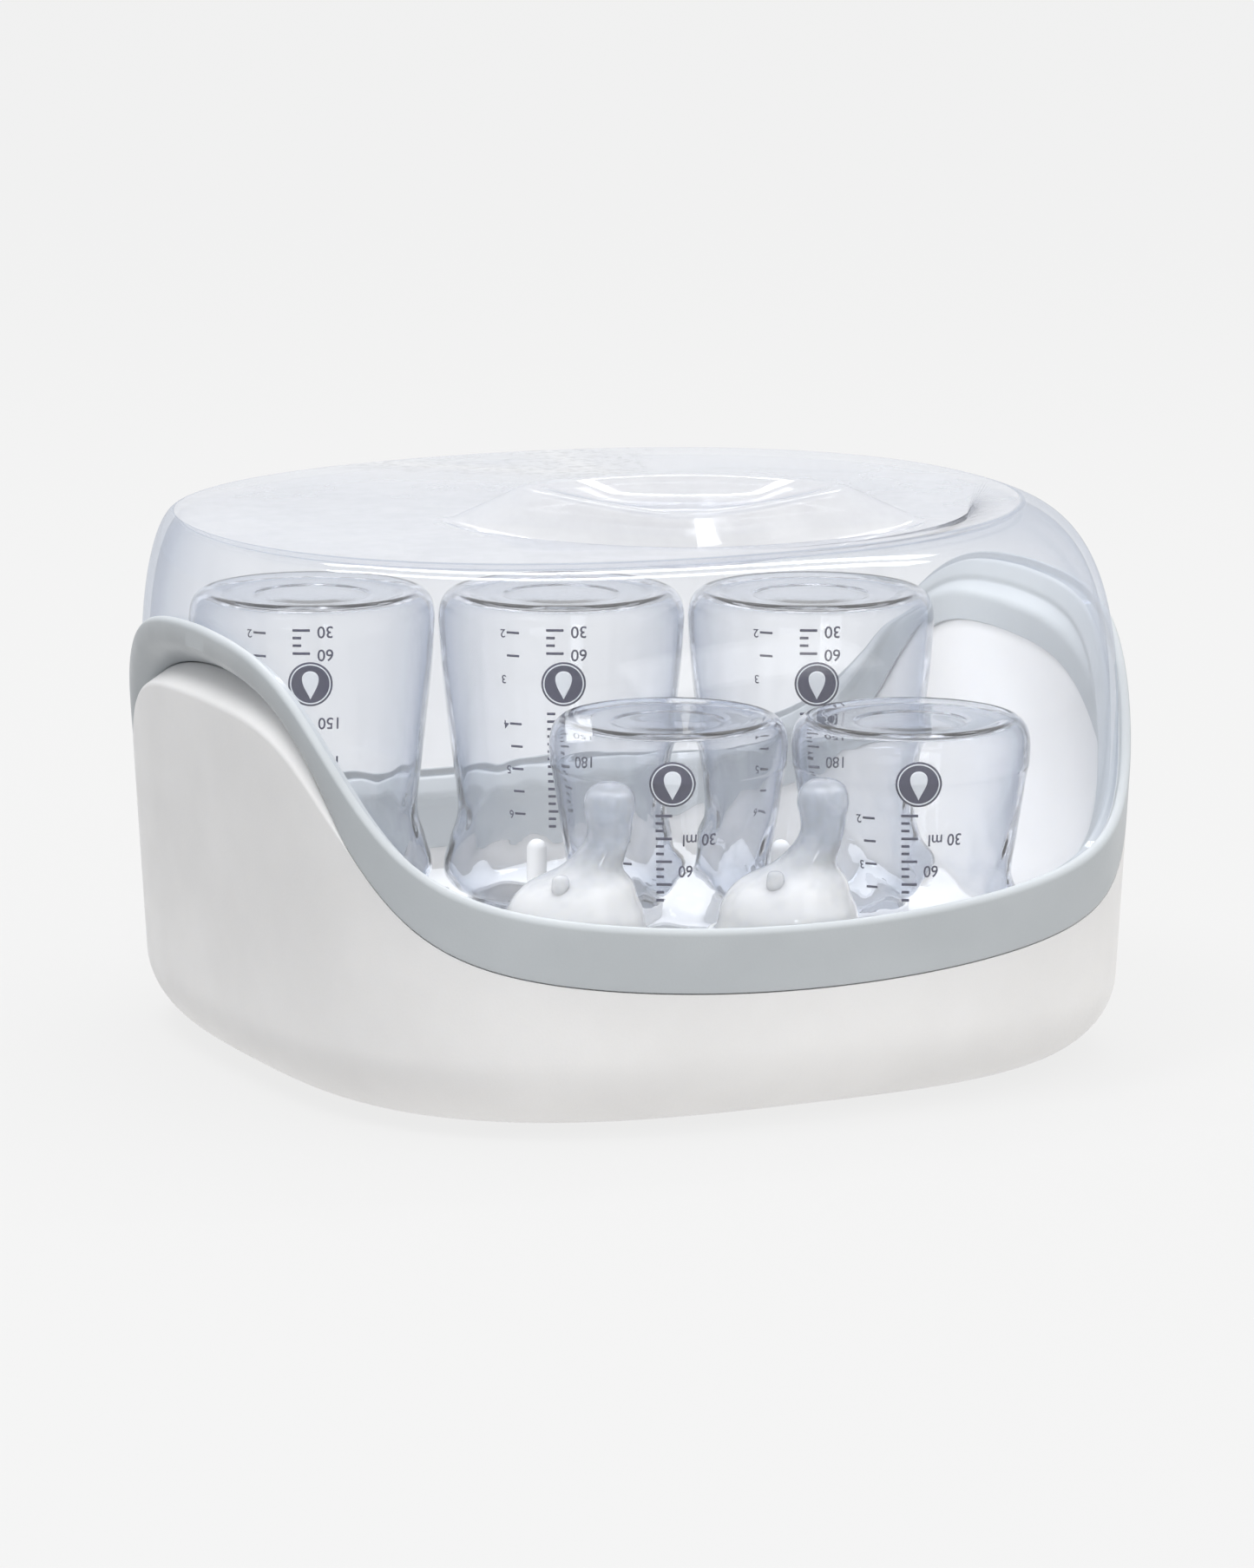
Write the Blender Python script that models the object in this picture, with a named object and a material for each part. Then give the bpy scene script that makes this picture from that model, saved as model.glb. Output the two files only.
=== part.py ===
"""Microwave bottle sterilizer: bowl base, saddle-shaped rim band, lift-out rack and clear lid,
loaded with five upturned bottles and two teats.

Metres, +Z up. The origin is at the middle of the flat foot. +X runs through the two raised ears,
-Y is the low front. Every shell is a stack of rings that share the same angles around +Z.
"""
import math

import bmesh
import bpy
import numpy as np

# ---- plan and heights of the outer shells ----
half_length = 0.140        # middle to the outside of an ear, along X
half_depth = 0.136         # middle to the outside of the front, along Y
plan_power = 3.0           # rounded-square outline: 2 is an ellipse, larger is squarer
flare = 0.05               # outward lean of the walls, metre per metre of height
foot_radius = 0.023        # round between the foot and the wall
front_seam = 0.039         # height of the joint between base and band at the front
ear_seam = 0.120           # and at the ears
front_rim = 0.058          # height of the band's top edge at the front
ear_rim = 0.134            # and at the ears
ear_angle = math.radians(30.6)    # half the angle that an ear takes up, seen from above
ear_blend = math.radians(5.7)     # how softly the ear falls to the front
corner_lift = 0.018        # the low rim climbs this much towards the corners
sides = 64                 # facets around each shell
foot_steps = 5             # facets over the round of the foot
dome_steps = 5             # facets over the lid's shoulder

# ---- walls, ledges and clearances ----
gap = 0.0003               # between pieces that rest on each other
base_wall = 0.003
rack_seat = 0.0245         # height of the ledge that carries the rack
rack_seat_width = 0.011
well_round = ((0.003, 0.008), (0.009, 0.002), (0.017, 0.0))    # inwards, above the well's floor
grip_ledge_depth = 0.010   # finger ledge cut into the base under each ear
grip_ledge_height = 0.007
grip_ledge_angle = math.radians(32)
band_fold = 0.0035         # height of the fold where the band meets a finger ledge
lip_width = 0.0026         # top of the band, outside the lid
lid_drop = 0.0022          # the lid's edge sits this far below the band's top
seat_width = 0.0034        # what the lid stands on
flange_width = 0.009       # band's inner edge, from its outside
flange_drop = 0.0065
skirt_depth = 0.006        # band's skirt inside the base
skirt_wall = 0.0015
skirt_room = 0.004         # empty height left under the skirt
lip_round = 0.0012         # height of the round outside the band's top
lip_slope = 0.0006         # the lip's inner side leans this much
flange_edge = 0.0018       # thickness of the flange where it ends
flange_root = 0.0045       # the flange meets the skirt this far below its edge
fold_share = 0.3           # share of a finger ledge's depth left at the top of the fold

# ---- lid ----
lid_wall = 0.002
lid_lean = 0.03
shoulder_room = 0.003      # the shoulder begins at least this far above the band
shoulder_start = 0.099     # height where the lid's wall begins to round over
lid_height = 0.158         # flat top of the lid
top_half_length = 0.128
top_half_depth = 0.1065
top_power = 2.2
top_back_shift = 0.0195    # the flat top lies nearer the back, so the front is raked
grip_centre = (0.0094, -0.0196)
grip_half_length = 0.0476
grip_half_depth = 0.025
grip_power = 1.6           # almond outline
grip_rise = 0.010          # back edge and tips of the grip over the lid's top
grip_front_dip = 0.005     # its front edge is lower
scoop_reach = 0.022        # finger scoops before and behind the grip
scoop_depth = 0.008
scoop_floor = 0.55         # share of the scoop's reach at which its floor begins
grip_draft = 0.002         # the grip's wall spreads this much at its foot
grip_ramp = 0.022          # and its tips run down to the top over this length
grip_lip = (0.93, 0.86)    # the dish inside the rim, as shares of the grip's length and depth
dish_share = 0.45
dish_depth = 0.0055

# ---- what stands in the rack ----
row_turn = math.radians(-25.8)    # the rows stand at this angle to the ears
rack_plate = 0.0025
rack_clearance = 0.0015    # rack's edge to the band that it is lifted through
back_radius = 0.0373
back_top = 0.1294
front_radius = 0.0352
front_top = 0.1028
shoulder_height = 0.0435   # widest point of a bottle's shoulder, near the rack
neck_radius = 0.0265
bottle_wall = 0.0018
bottle_sides = 24
collar_wall = 0.0018
collar_height = 0.006
neck_clearance = 0.0012
cutter_reach = 0.010       # holes are cut by tools that stand this far out of the rack
steam_hole_radius = 0.012
teat_radius = 0.024
teat_seat = 0.0455
teat_tip = 0.0933
teat_sides = 20
nipple_shift = 0.010       # the nipple leans off the middle of its skirt
pedestal_radius = 0.0185
pedestal_bore = 0.013
post_radius = 0.003
post_top = 0.060

bottle_gap = 0.0010        # between the widest parts of two bottles in a row
row_nesting = 0.0045       # the rows stand this much closer than their radii
back_middle = -0.0199      # along the rows, of the middle bottle of three
back_near = -0.032
front_middle = 0.0479      # along the rows, of the place between the front two
back_pitch = 2 * back_radius + bottle_gap
front_pitch = 2 * front_radius + bottle_gap
front_near = back_near + back_radius + front_radius - row_nesting
back_row = tuple((back_middle + step * back_pitch, back_near) for step in (-1, 0, 1))
front_row = tuple((front_middle + step * front_pitch, front_near) for step in (-0.5, 0.5))
teat_places = ((-0.015, 0.090), (0.0466, 0.084))
post_places = ((-0.027, 0.008), (0.046, 0.009))


def row_point(place):
    """A place in the rows: first along the rows, then towards the front-left."""
    along, near = place
    x = along * math.cos(row_turn) + near * math.sin(row_turn)
    y = along * math.sin(row_turn) - near * math.cos(row_turn)
    return x, y


angles = np.linspace(0, 2 * math.pi, sides, endpoint=False)


def rounded_radius(angle, length, depth, power):
    """Distance from the middle to a rounded-rectangle outline at each angle."""
    share_x = np.abs(np.cos(angle)) / length
    share_y = np.abs(np.sin(angle)) / depth
    return (share_x ** power + share_y ** power) ** (-1 / power)


def outline(inset):
    """X and Y of the plan outline, moved inwards by inset (a number or one value per angle)."""
    radius = rounded_radius(angles, half_length - inset, half_depth - inset, plan_power)
    return radius * np.cos(angles), radius * np.sin(angles)


def lean(height):
    """How far the leaning wall is inside its widest outline at a height."""
    return flare * (ear_rim - height)


def from_ear(angle):
    """Angle away from the nearer ear, 0 at the ear and a quarter turn at front and back."""
    return np.arctan2(np.abs(np.sin(angle)), np.abs(np.cos(angle)))


def saddle(low, high):
    """Height of an edge that is high at both ears and low at front and back."""
    fall = 1 / (1 + np.exp((from_ear(angles) - ear_angle) / ear_blend))
    top = 1 / (1 + math.exp(-ear_angle / ear_blend))
    share = fall / top
    corner = corner_lift * np.cos(angles) ** 2 * (1 - share)
    return low + (high - low) * share + corner


seam = saddle(front_seam, ear_seam)
rim = saddle(front_rim, ear_rim)
ledge_share = np.clip(1 - (from_ear(angles) / grip_ledge_angle) ** 2, 0, 1)
ledge = grip_ledge_depth * ledge_share
ledge_drop = grip_ledge_height * ledge_share


def ring(inset, height):
    """One ring of points on the plan outline."""
    x, y = outline(inset)
    return np.column_stack((x, y, np.broadcast_to(height, x.shape)))


def disc(radius, height, centre=(0, 0), count=None):
    """A circle of points about a centre."""
    turn = np.linspace(0, 2 * math.pi, count, endpoint=False)
    x = centre[0] + radius * np.cos(turn)
    y = centre[1] + radius * np.sin(turn)
    return np.column_stack((x, y, np.full(count, height)))


def material(name, colour, roughness, alpha=1.0):
    """Plain Principled material."""
    made = bpy.data.materials.new(name)
    made.use_nodes = True
    shader = made.node_tree.nodes["Principled BSDF"]
    shader.inputs["Base Color"].default_value = (*colour, 1.0)
    shader.inputs["Roughness"].default_value = roughness
    shader.inputs["Metallic"].default_value = 0.0
    shader.inputs["Alpha"].default_value = alpha
    return made


def place(name, mesh, finish):
    """Link a mesh to the scene as a smooth-shaded object with one material."""
    mesh.materials.append(finish)
    mesh.shade_smooth()
    mesh.set_sharp_from_angle(angle=math.radians(35))
    made = bpy.data.objects.new(name, mesh)
    bpy.context.scene.collection.objects.link(made)
    return made


def skin(body, rings, closed_loop):
    """Bridge each ring to the next. A closed loop joins the last ring to the first,
    otherwise both ends are capped with a flat face."""
    loops = [[body.verts.new(point) for point in points] for points in rings]
    pairs = list(zip(loops, loops[1:]))
    if closed_loop:
        pairs.append((loops[-1], loops[0]))
    for lower, upper in pairs:
        count = len(lower)
        for index in range(count):
            after = (index + 1) % count
            body.faces.new((lower[index], lower[after], upper[after], upper[index]))
    if not closed_loop:
        body.faces.new(list(reversed(loops[0])))
        body.faces.new(loops[-1])


def shell(name, rings, finish, closed_loop=False):
    """A closed body skinned over rings, which run up its outside first."""
    body = bmesh.new()
    skin(body, rings, closed_loop)
    bmesh.ops.recalc_face_normals(body, faces=body.faces)
    mesh = bpy.data.meshes.new(name)
    body.to_mesh(mesh)
    body.free()
    return place(name, mesh, finish)


def make_base(finish):
    """White bowl: rounded foot, leaning wall, finger ledges, and a step inside for the rack."""
    outside = []
    for step in range(foot_steps + 1):
        turn = step / foot_steps * math.pi / 2
        height = foot_radius * (1 - math.cos(turn))
        outside.append(ring(lean(height) + foot_radius * (1 - math.sin(turn)), height))
    below = seam - ledge_drop
    outside.append(ring(lean(below), below))
    outside.append(ring(lean(seam) + ledge, seam))
    inner = lean(seam) + ledge + base_wall
    skirt_foot = seam - skirt_depth - skirt_room
    inside = [
        ring(inner, seam),
        ring(lean(skirt_foot) + ledge + base_wall, skirt_foot),
        ring(lean(rack_seat) + base_wall, rack_seat),
    ]
    step_inset = lean(rack_seat) + base_wall + rack_seat_width
    inside.append(ring(step_inset, rack_seat))
    for inwards, above in well_round:
        inside.append(ring(step_inset + inwards, base_wall + above))
    return shell("base_bowl", outside + inside, finish)


def make_band(finish):
    """Grey band: a closed ring with a lip outside the lid, a seat under it, a sloping flange
    inside and a skirt that drops into the base."""
    foot = seam + gap
    skirt_inset = lean(seam) + ledge + base_wall + gap
    skirt_foot = seam - skirt_depth
    edge = lean(rim)
    rings = [
        ring(lean(foot) + ledge, foot),
        ring(lean(foot + band_fold) + fold_share * ledge, foot + band_fold),
        ring(lean(rim - lip_round), rim - lip_round),
        ring(edge + lip_round, rim),
        ring(edge + lip_width, rim),
        ring(edge + lip_width + lip_slope, rim - lid_drop),
        ring(edge + lip_width + seat_width, rim - lid_drop),
        ring(edge + flange_width, rim - flange_drop),
        ring(edge + flange_width, rim - flange_drop - flange_edge),
        ring(skirt_inset + skirt_wall, rim - flange_drop - flange_root),
        ring(skirt_inset + skirt_wall, skirt_foot),
        ring(skirt_inset, skirt_foot),
        ring(skirt_inset, foot),
    ]
    return shell("rim_band", rings, finish, closed_loop=True)


def top_ring(length, depth, height):
    """A ring of the lid's flat top, which lies towards the back."""
    radius = rounded_radius(angles, length, depth, top_power)
    x = radius * np.cos(angles)
    y = top_back_shift + radius * np.sin(angles)
    return np.column_stack((x, y, np.full(sides, height)))


def grip_ring(length, depth, height):
    """An almond ring about the grip's middle, turned with the rows. height may be one value
    per angle."""
    radius = rounded_radius(angles, length, depth, grip_power)
    along = radius * np.cos(angles)
    across = radius * np.sin(angles)
    x = grip_centre[0] + along * math.cos(row_turn) - across * math.sin(row_turn)
    y = grip_centre[1] + along * math.sin(row_turn) + across * math.cos(row_turn)
    return np.column_stack((x, y, np.broadcast_to(height, x.shape)))


def dome(inset, top, foot):
    """Lid rings from its edge to the flat top, which ends inset inside the outer surface."""
    edge = lean(rim) + lip_width + lip_slope + gap + inset
    start = np.maximum(shoulder_start, rim + shoulder_room)
    rings = [ring(edge, foot)]
    wall_inset = edge + lid_lean * (start - rim)
    wall_x, wall_y = outline(wall_inset)
    rings.append(np.column_stack((wall_x, wall_y, start)))
    flat = top_ring(top_half_length - inset, top_half_depth - inset, top)
    for step in range(1, dome_steps + 1):
        turn = step / dome_steps * math.pi / 2
        blend = 1 - math.cos(turn)
        x = wall_x + (flat[:, 0] - wall_x) * blend
        y = wall_y + (flat[:, 1] - wall_y) * blend
        rings.append(np.column_stack((x, y, start + (top - start) * math.sin(turn))))
    return rings


def grip(top, thickness):
    """Rings of the grip: finger scoops, a wall up to the almond rim, and a shallow dish.
    thickness moves the underside in and down."""
    depth_share = np.abs(np.sin(angles))
    front_share = np.clip(-np.sin(angles), 0, 1)
    scoop = top - scoop_depth * depth_share
    rim_height = top + grip_rise - grip_front_dip * front_share
    length = grip_half_length - thickness
    depth = grip_half_depth - thickness
    foot_length = length + grip_ramp
    lip_length, lip_depth = grip_lip
    dish = top + grip_rise - dish_depth
    return [
        grip_ring(foot_length + 2 * grip_draft, depth + scoop_reach + 2 * grip_draft, top),
        grip_ring(foot_length + grip_draft, depth + scoop_reach * scoop_floor, scoop),
        grip_ring(foot_length, depth + grip_draft, scoop),
        grip_ring(length, depth, rim_height),
        grip_ring(length * lip_length, depth * lip_depth, rim_height),
        grip_ring(length * dish_share, depth * dish_share, dish),
    ]


def make_lid(finish):
    """Clear lid: one thin shell, from the middle of its top to its edge and back underneath."""
    foot = rim - lid_drop + gap
    outside = dome(0.0, lid_height, foot) + grip(lid_height, 0.0)
    inside = dome(lid_wall, lid_height - lid_wall, foot) + grip(lid_height - lid_wall, lid_wall)
    return shell("lid", outside[::-1] + inside, finish)


def turned(name, profile, centre, count, finish, drift=None):
    """A round piece from (radius, height) points, from one end cap to the other; drift moves a
    ring along the rows by the amount that it gives for a height."""
    rings = []
    for radius, height in profile:
        shift = drift(height) if drift else 0.0
        x = centre[0] + shift * math.cos(row_turn)
        y = centre[1] + shift * math.sin(row_turn)
        rings.append(disc(radius, height, (x, y), count))
    return shell(name, rings, finish)


def bottle_profile(radius, top, foot):
    """Upturned bottle, from the middle of its round base down its outside to the mouth, and
    back up inside: a thick base with a shallow dish, a waist, a shoulder and a neck."""
    waist_height = shoulder_height + 0.22 * (top - shoulder_height)
    waist = radius * 0.85
    shoulder = radius - 0.0012
    wall = [
        (radius, top - 0.009),
        (waist + 0.8 * (radius - waist), waist_height + 0.62 * (top - waist_height)),
        (waist + 0.35 * (radius - waist), waist_height + 0.28 * (top - waist_height)),
        (waist, waist_height),
        ((waist + shoulder) / 2, (waist_height + shoulder_height) / 2),
        (shoulder, shoulder_height),
        (shoulder - 0.003, shoulder_height - 0.005),
        (neck_radius, shoulder_height - 0.009),
        (neck_radius, foot),
    ]
    base = [
        (radius * 0.62, top - 0.0025),
        (radius * 0.70, top - 0.0022),
        (radius * 0.80, top),
        (radius - 0.0045, top),
        (radius - 0.0012, top - 0.003),
    ]
    hollow = [(each - bottle_wall, height) for each, height in reversed(wall[1:])]
    hollow.append((radius - 0.0030, top - 0.012))
    hollow.append((radius - 0.0075, top - 0.0065))
    return base + wall + hollow


def make_bottle(name, spot, radius, top, finish):
    """One bottle, standing on its mouth."""
    foot = rack_seat + gap + rack_plate + gap
    profile = bottle_profile(radius, top, foot)
    return turned(name, profile, row_point(spot), bottle_sides, finish)


def nipple_drift(height):
    """The teat's axis leans along the rows above its skirt."""
    start = teat_seat + 0.012
    share = min(max((height - start) / 0.020, 0.0), 1.0)
    return nipple_shift * share


def make_teat(name, spot, finish):
    """Silicone teat: flat flange, domed skirt, neck and rounded nipple, hollow inside."""
    foot = teat_seat + gap
    outside = [
        (teat_radius, foot),
        (teat_radius, foot + 0.0028),
        (teat_radius - 0.003, foot + 0.0034),
        (teat_radius - 0.0042, foot + 0.010),
        (teat_radius - 0.0085, foot + 0.0175),
        (teat_radius - 0.0155, foot + 0.0225),
        (0.0068, foot + 0.028),
        (0.0066, foot + 0.034),
        (0.0076, foot + 0.040),
        (0.0068, foot + 0.0445),
        (0.0040, teat_tip - 0.0005),
        (0.0012, teat_tip),
    ]
    hollow = [
        (0.0035, teat_tip - 0.0028),
        (0.0053, foot + 0.0425),
        (0.0048, foot + 0.034),
        (0.0050, foot + 0.0275),
        (teat_radius - 0.018, foot + 0.0205),
        (teat_radius - 0.0105, foot + 0.0155),
        (teat_radius - 0.0060, foot + 0.0090),
        (teat_radius - 0.0062, foot),
    ]
    profile = outside[::-1] + hollow[::-1]
    return turned(name, profile, row_point(spot), teat_sides, finish, nipple_drift)


def solid_discs(name, pieces, count):
    """Several separate upright cylinders in one mesh: (centre, radius, low, high)."""
    body = bmesh.new()
    for centre, radius, low, high in pieces:
        skin(body, [disc(radius, low, centre, count), disc(radius, high, centre, count)], False)
    bmesh.ops.recalc_face_normals(body, faces=body.faces)
    mesh = bpy.data.meshes.new(name)
    body.to_mesh(mesh)
    body.free()
    made = bpy.data.objects.new(name, mesh)
    bpy.context.scene.collection.objects.link(made)
    made.hide_render = True
    made.display_type = "WIRE"
    return made


def boolean(target, tool, operation):
    """Join or cut with Blender's exact solver."""
    step = target.modifiers.new(tool.name, "BOOLEAN")
    step.operation = operation
    step.solver = "EXACT"
    step.object = tool


def make_rack(finish):
    """White rack: a plate with a collar for each bottle, a pedestal for each teat, two posts to
    lift it by, and steam holes."""
    low = rack_seat + gap
    high = low + rack_plate
    skirt = lean(seam) + ledge + base_wall + gap + skirt_wall
    inset = np.maximum(lean(rim) + flange_width, skirt) + rack_clearance
    rack = shell("rack", [ring(inset, low), ring(inset, high)], finish)
    sink = low + rack_plate / 2
    stand = []
    bores = []
    bottles = back_row + front_row
    for spot in bottles:
        centre = row_point(spot)
        bore = neck_radius + neck_clearance
        stand.append((centre, bore + collar_wall, sink, high + collar_height))
        bores.append((centre, bore, high, high + collar_height + cutter_reach))
        bores.append((centre, steam_hole_radius, low - cutter_reach, high + gap))
    for spot in teat_places:
        centre = row_point(spot)
        stand.append((centre, pedestal_radius, sink, teat_seat))
        bores.append((centre, pedestal_bore, low - cutter_reach, teat_seat + cutter_reach))
    for spot in post_places:
        stand.append((row_point(spot), post_radius, sink, post_top))
    boolean(rack, solid_discs("rack_stand", stand, 20), "UNION")
    boolean(rack, solid_discs("rack_bores", bores, 20), "DIFFERENCE")
    return rack


def main():
    for old in list(bpy.data.objects):
        bpy.data.objects.remove(old, do_unlink=True)
    white = material("white_plastic", (0.86, 0.86, 0.85), 0.35)
    grey = material("grey_plastic", (0.45, 0.49, 0.51), 0.40)
    clear = material("clear_plastic", (0.90, 0.92, 0.95), 0.06, 0.35)
    bottle_clear = material("bottle_plastic", (0.82, 0.86, 0.92), 0.05, 0.35)
    silicone = material("silicone", (0.88, 0.87, 0.78), 0.35)
    make_base(white)
    make_band(grey)
    make_rack(white)
    make_lid(clear)
    names = ("bottle_back_left", "bottle_back_middle", "bottle_back_right")
    for name, spot in zip(names, back_row):
        make_bottle(name, spot, back_radius, back_top, bottle_clear)
    for name, spot in zip(("bottle_front_left", "bottle_front_right"), front_row):
        make_bottle(name, spot, front_radius, front_top, bottle_clear)
    for name, spot in zip(("teat_left", "teat_right"), teat_places):
        make_teat(name, spot, silicone)


main()
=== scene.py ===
"""Looks of the bottle sterilizer: fine shells, clear bottles with their printed scales, silicone
teats, finishes, stage, light and camera, around the fixed frame.

Metres, +Z up, origin at the middle of the flat foot. +X runs through the two raised ears and -Y
is the low front, as in the frame. A shell is a stack of closed rings that share their angles
around +Z. The rings run from the middle of one end, over the edge, to the middle of the other,
so that every face points out.
"""
import math

import bpy
import numpy as np
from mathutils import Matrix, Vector
from mathutils.geometry import tessellate_polygon


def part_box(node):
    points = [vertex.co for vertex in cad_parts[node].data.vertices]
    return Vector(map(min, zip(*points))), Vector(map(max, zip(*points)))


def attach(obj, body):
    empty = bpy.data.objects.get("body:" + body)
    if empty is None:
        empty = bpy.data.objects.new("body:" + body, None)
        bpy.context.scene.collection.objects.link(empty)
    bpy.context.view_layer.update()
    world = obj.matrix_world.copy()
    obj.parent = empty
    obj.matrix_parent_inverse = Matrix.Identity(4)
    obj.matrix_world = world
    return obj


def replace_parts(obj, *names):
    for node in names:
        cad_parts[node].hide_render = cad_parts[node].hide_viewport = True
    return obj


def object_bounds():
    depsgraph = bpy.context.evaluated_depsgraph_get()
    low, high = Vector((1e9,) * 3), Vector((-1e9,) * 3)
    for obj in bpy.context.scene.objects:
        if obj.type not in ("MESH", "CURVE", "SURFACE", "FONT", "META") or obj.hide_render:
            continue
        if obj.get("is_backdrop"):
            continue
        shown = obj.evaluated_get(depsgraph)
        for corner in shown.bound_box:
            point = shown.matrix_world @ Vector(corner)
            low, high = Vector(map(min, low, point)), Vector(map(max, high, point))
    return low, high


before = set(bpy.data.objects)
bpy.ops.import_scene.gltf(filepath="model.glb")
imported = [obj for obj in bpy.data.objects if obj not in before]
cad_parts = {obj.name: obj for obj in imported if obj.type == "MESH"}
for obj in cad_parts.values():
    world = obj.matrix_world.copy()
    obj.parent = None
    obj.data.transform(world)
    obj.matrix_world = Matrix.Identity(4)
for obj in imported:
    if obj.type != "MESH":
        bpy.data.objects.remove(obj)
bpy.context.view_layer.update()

# ---- the frame's driving sizes ----
half_length = 0.140
half_depth = 0.136
plan_power = 3.0
flare = 0.05
foot_radius = 0.023
front_seam = 0.039
ear_seam = 0.120
front_rim = 0.058
ear_rim = 0.134
ear_angle = math.radians(30.6)
ear_blend = math.radians(5.7)
corner_lift = 0.018
gap = 0.0003
base_wall = 0.003
rack_seat_width = 0.011
grip_ledge_depth = 0.010
grip_ledge_height = 0.007
grip_ledge_angle = math.radians(32)
lip_width = 0.0026
lid_drop = 0.0022
seat_width = 0.0034
flange_width = 0.009
flange_drop = 0.0065
skirt_depth = 0.006
skirt_wall = 0.0015
lid_wall = 0.002
lid_lean = 0.03
shoulder_start = 0.099
lid_height = 0.158
top_half_length = 0.128
top_half_depth = 0.1065
top_power = 2.2
top_back_shift = 0.0195
grip_centre = (0.0094, -0.0196)
grip_half_length = 0.0476
grip_half_depth = 0.025
grip_power = 1.6
grip_rise = 0.010
grip_front_dip = 0.005
scoop_reach = 0.022
scoop_depth = 0.008
grip_ramp = 0.022
grip_draft = 0.002
grip_lip = (0.93, 0.86)
dish_share = 0.45
dish_depth = 0.0055
scoop_floor = 0.55
well_round = ((0.003, 0.008), (0.009, 0.002), (0.017, 0.0))
skirt_room = 0.004
lip_round = 0.0012
lip_slope = 0.0006
flange_edge = 0.0018
flange_root = 0.0045
fold_height = 0.0035
fold_share = 0.3
shoulder_room = 0.003
panel_depth = 0.0014
panel_floor = 0.020
panel_edge = 0.008
foot_edge = 0.006
row_turn = math.radians(-25.8)
neck_radius = 0.0265
bottle_wall = 0.0018
neck_clearance = 0.0012
collar_wall = 0.0018
collar_height = 0.006
steam_hole_radius = 0.012
pedestal_radius = 0.0185
pedestal_bore = 0.013
post_radius = 0.003
nipple_shift = 0.010
shoulder_height = 0.0435

well_floor = 0.090
drain_radius = 0.0035
drain_places = (
    (-0.094, 0.0), (-0.088, -0.040), (-0.070, 0.013), (0.028, 0.096), (0.060, 0.082),
    (0.090, 0.058), (0.100, 0.030), (0.070, 0.046), (0.037, 0.058), (-0.020, 0.094),
)
post_places = ((-0.027, 0.008), (0.046, 0.009))

# ---- printing ----
ripple_depth = 0.00045
film = 0.00006
stroke = 0.0008
fine_stroke = 0.0007
stroke_left = -0.0042
stroke_lengths = (0.0052, 0.0026, 0.0026)
stroke_pitch = 0.0023
digit_size = 0.0050
digit_place = 0.0056
digit_spacing = 0.0014
fine_strokes = (-0.0165, -0.0125)
fine_drop = 0.0011
fine_digit_size = 0.0036
fine_digit_place = (-0.0178, -0.001)
ink_lift = 0.00010
pale_lift = 0.00020
badge_shift = 0.001
badge_radius = 0.0068
badge_line = (0.0058, 0.0062)
badge_room = 0.0075
drop_size = (0.0036, 0.0044)

# ---- fineness ----
sides = 320
bottle_sides = 112
dome_steps = 40
dome_rows = dome_steps + 4
foot_steps = 14
teat_sides = 72

# ---- view ----
view_turn = row_turn
view_rise = math.radians(11.0)
view_distance = 2.154
view_lens = 164.86
view_aim = (0.0, 0.0, 0.0752)

backs = ("bottle_back_left", "bottle_back_middle", "bottle_back_right")
fronts = ("bottle_front_left", "bottle_front_right")
teats = ("teat_left", "teat_right")

angles = np.linspace(0, 2 * math.pi, sides, endpoint=False)


# ==== surfaces ====

def skin(rings, loop=False):
    """Points and faces over rings (rows, around, 3). Row r joins row r + 1; a loop joins the
    last row to the first, and otherwise a fan about the mean of each end row closes it."""
    rows, around = rings.shape[:2]
    index = np.arange(rows * around).reshape(rows, around)
    after = np.roll(index, -1, axis=1)
    above = np.roll(index, -1, axis=0)
    above_after = np.roll(after, -1, axis=0)
    quads = np.stack((index, after, above_after, above), axis=-1)
    points = rings.reshape(-1, 3)
    if loop:
        return points, quads.reshape(-1, 4).tolist()
    first = rows * around
    low_fan = np.column_stack((np.full(around, first), after[0], index[0]))
    high_fan = np.column_stack((np.full(around, first + 1), index[-1], after[-1]))
    points = np.vstack((points, rings[0].mean(axis=0), rings[-1].mean(axis=0)))
    return points, quads[:-1].reshape(-1, 4).tolist() + low_fan.tolist() + high_fan.tolist()


def joined(shapes):
    """Several (points, faces) as one."""
    points = np.vstack([shape[0] for shape in shapes])
    starts = np.cumsum([0] + [len(shape[0]) for shape in shapes[:-1]])
    faces = []
    for start, (_, own) in zip(starts, shapes):
        faces.extend([[int(corner + start) for corner in face] for face in own])
    return points, faces


def piece(name, shape, finish, body, crease=40):
    """Link points and faces as a smooth object that rides on a body of the frame."""
    points, faces = shape
    mesh = bpy.data.meshes.new(name)
    mesh.from_pydata(points.tolist(), [], faces)
    mesh.materials.append(finish)
    mesh.shade_smooth()
    mesh.set_sharp_from_angle(angle=math.radians(crease))
    made = bpy.data.objects.new(name, mesh)
    bpy.context.scene.collection.objects.link(made)
    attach(made, body)
    return made


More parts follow.
